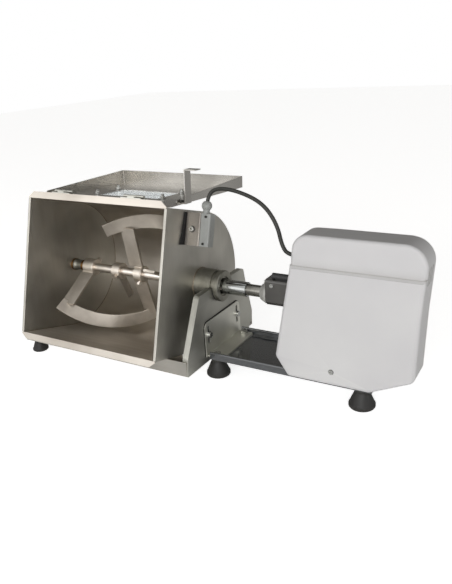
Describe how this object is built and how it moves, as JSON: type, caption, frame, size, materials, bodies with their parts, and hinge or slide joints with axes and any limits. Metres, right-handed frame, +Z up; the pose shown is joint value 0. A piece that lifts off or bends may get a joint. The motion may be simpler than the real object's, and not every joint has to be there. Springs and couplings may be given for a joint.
{
  "type": "tilting dough mixer",
  "caption": "Tilting stainless dough mixer: U-shaped tub with hinged lid and helical-bladed agitator, cradled in a stand and driven by a separate covered gear motor.",
  "frame": {"origin": "on the bench under the motor pan's front left rubber foot, the one nearest the mixer", "axes": "+X along the agitator shaft towards the motor unit, -Y out of the tub's mouth towards the user, +Z up"},
  "size_m": [0.8655, 0.3808, 0.3879],
  "materials": {
    "stainless_sheet": "brushed stainless sheet",
    "dark_stainless": "satin stainless plate",
    "polished_steel": "polished",
    "blade_steel": "ground and polished",
    "bolt_steel": "bright zinc",
    "cast_steel": "dark machined",
    "black_paint": "semi-gloss black",
    "cover_plastic": "satin light grey",
    "grey_plastic": "matte mid-grey",
    "black_plastic": "matte black",
    "rubber": "matte",
    "cable_rubber": "matte",
    "clear_pane": "clear",
    "bronze": "machined",
    "gear_steel": "hobbed",
    "copper": "wound and varnished",
    "aluminium": "die-cast"
  },
  "bodies": {
    "stand": {"right_upright": "dark_stainless", "left_upright": "dark_stainless", "saddle_liners": "black_plastic", "base_rails": "stainless_sheet", "rubber_feet": "rubber", "foot_screws": "bolt_steel", "link_bracket": "dark_stainless", "bracket_bolts": "bolt_steel", "motor_pan": "black_paint", "motor_cover": "cover_plastic", "cover_tabs": "bolt_steel", "unit_screws": "bolt_steel", "power_switch_frame": "black_plastic", "mains_inlet": "black_plastic", "switch_cable": "cable_rubber", "cable_grommet": "black_plastic", "motor_can": "black_paint", "motor_stator": "copper", "end_bell": "aluminium", "bearings": "polished_steel", "bearing_collar": "grey_plastic", "gear_case": "black_paint", "case_breather": "black_plastic", "gearbox_housing": "black_paint", "motor_mount": "black_paint", "run_capacitor": "black_plastic", "lock_barrel": "dark_stainless", "lock_spring": "bolt_steel"},
    "tub": {"tub_trough": "stainless_sheet", "tub_right_wall": "stainless_sheet", "tub_left_wall": "stainless_sheet", "right_hub": "dark_stainless", "left_hub": "dark_stainless", "shaft_bushes": "bronze", "hub_seal": "cast_steel", "lock_plate": "dark_stainless", "tub_hinge_leaves": "dark_stainless", "switch_bracket": "stainless_sheet", "switch_box": "grey_plastic", "limit_switch": "black_plastic", "switch_gland": "grey_plastic", "switch_screws": "bolt_steel"},
    "agitator": {"agitator_shaft": "polished_steel", "agitator_collars": "blade_steel", "lower_blade": "blade_steel", "upper_blade": "blade_steel", "agitator_arms": "blade_steel"},
    "drive": {"drive_sleeve": "polished_steel", "output_gear": "gear_steel"},
    "cluster": {"cluster_gear": "gear_steel"},
    "rotor": {"motor_rotor": "gear_steel"},
    "lid": {"lid_tray": "stainless_sheet", "lid_window": "clear_pane", "lid_fasteners": "bolt_steel", "actuator_strip": "dark_stainless", "lid_handle": "stainless_sheet", "lid_hinges": "dark_stainless"},
    "plunger": {"switch_plunger": "bolt_steel"},
    "rocker": {"power_rocker": "black_plastic"},
    "lock": {"lock_pin": "black_plastic"}
  },
  "joints": [
    {"name": "tub_tilt", "type": "hinge", "parent": "stand", "child": "tub", "pos_m": [-0.061, 0.054, 0.16], "axis": [1, 0, 0], "range_deg": [-73.5, 0], "deforming": ["switch_cable"]},
    {"name": "lid_hinge", "type": "hinge", "parent": "tub", "child": "lid", "pos_m": [-0.221, -0.02417, 0.34325], "axis": [1, 0, 0], "range_deg": [0, 257.5]},
    {"name": "agitator_spin", "type": "hinge", "parent": "stand", "child": "agitator", "pos_m": [-0.221, 0.054, 0.16], "axis": [1, 0, 0], "continuous": true},
    {"name": "drive_spin", "type": "hinge", "parent": "stand", "child": "drive", "pos_m": [0.089, 0.054, 0.16], "axis": [1, 0, 0], "continuous": true},
    {"name": "cluster_spin", "type": "hinge", "parent": "stand", "child": "cluster", "pos_m": [0.179, 0.07506, 0.18795], "axis": [1, 0, 0], "continuous": true},
    {"name": "rotor_spin", "type": "hinge", "parent": "stand", "child": "rotor", "pos_m": [0.259, 0.054, 0.16], "axis": [1, 0, 0], "continuous": true},
    {"name": "plunger_press", "type": "slide", "parent": "tub", "child": "plunger", "axis": [0, 0.9588, -0.284], "range_m": [0, 0.003], "stiffness_N_per_m": 500, "springref_m": -0.002},
    {"name": "rocker_press", "type": "hinge", "parent": "stand", "child": "rocker", "pos_m": [0.239, 0.123, 0.22], "axis": [1, 0, 0], "range_deg": [0, 12]},
    {"name": "lock_slide", "type": "slide", "parent": "stand", "child": "lock", "axis": [1, 0, 0], "range_m": [0, 0.006], "deforming": ["lock_spring"]}
  ],
  "couplings": [
    {"joint": "drive_spin", "follows": "agitator_spin", "ratio": 1},
    {"joint": "cluster_spin", "follows": "agitator_spin", "ratio": -3},
    {"joint": "rotor_spin", "follows": "agitator_spin", "ratio": 9}
  ]
}
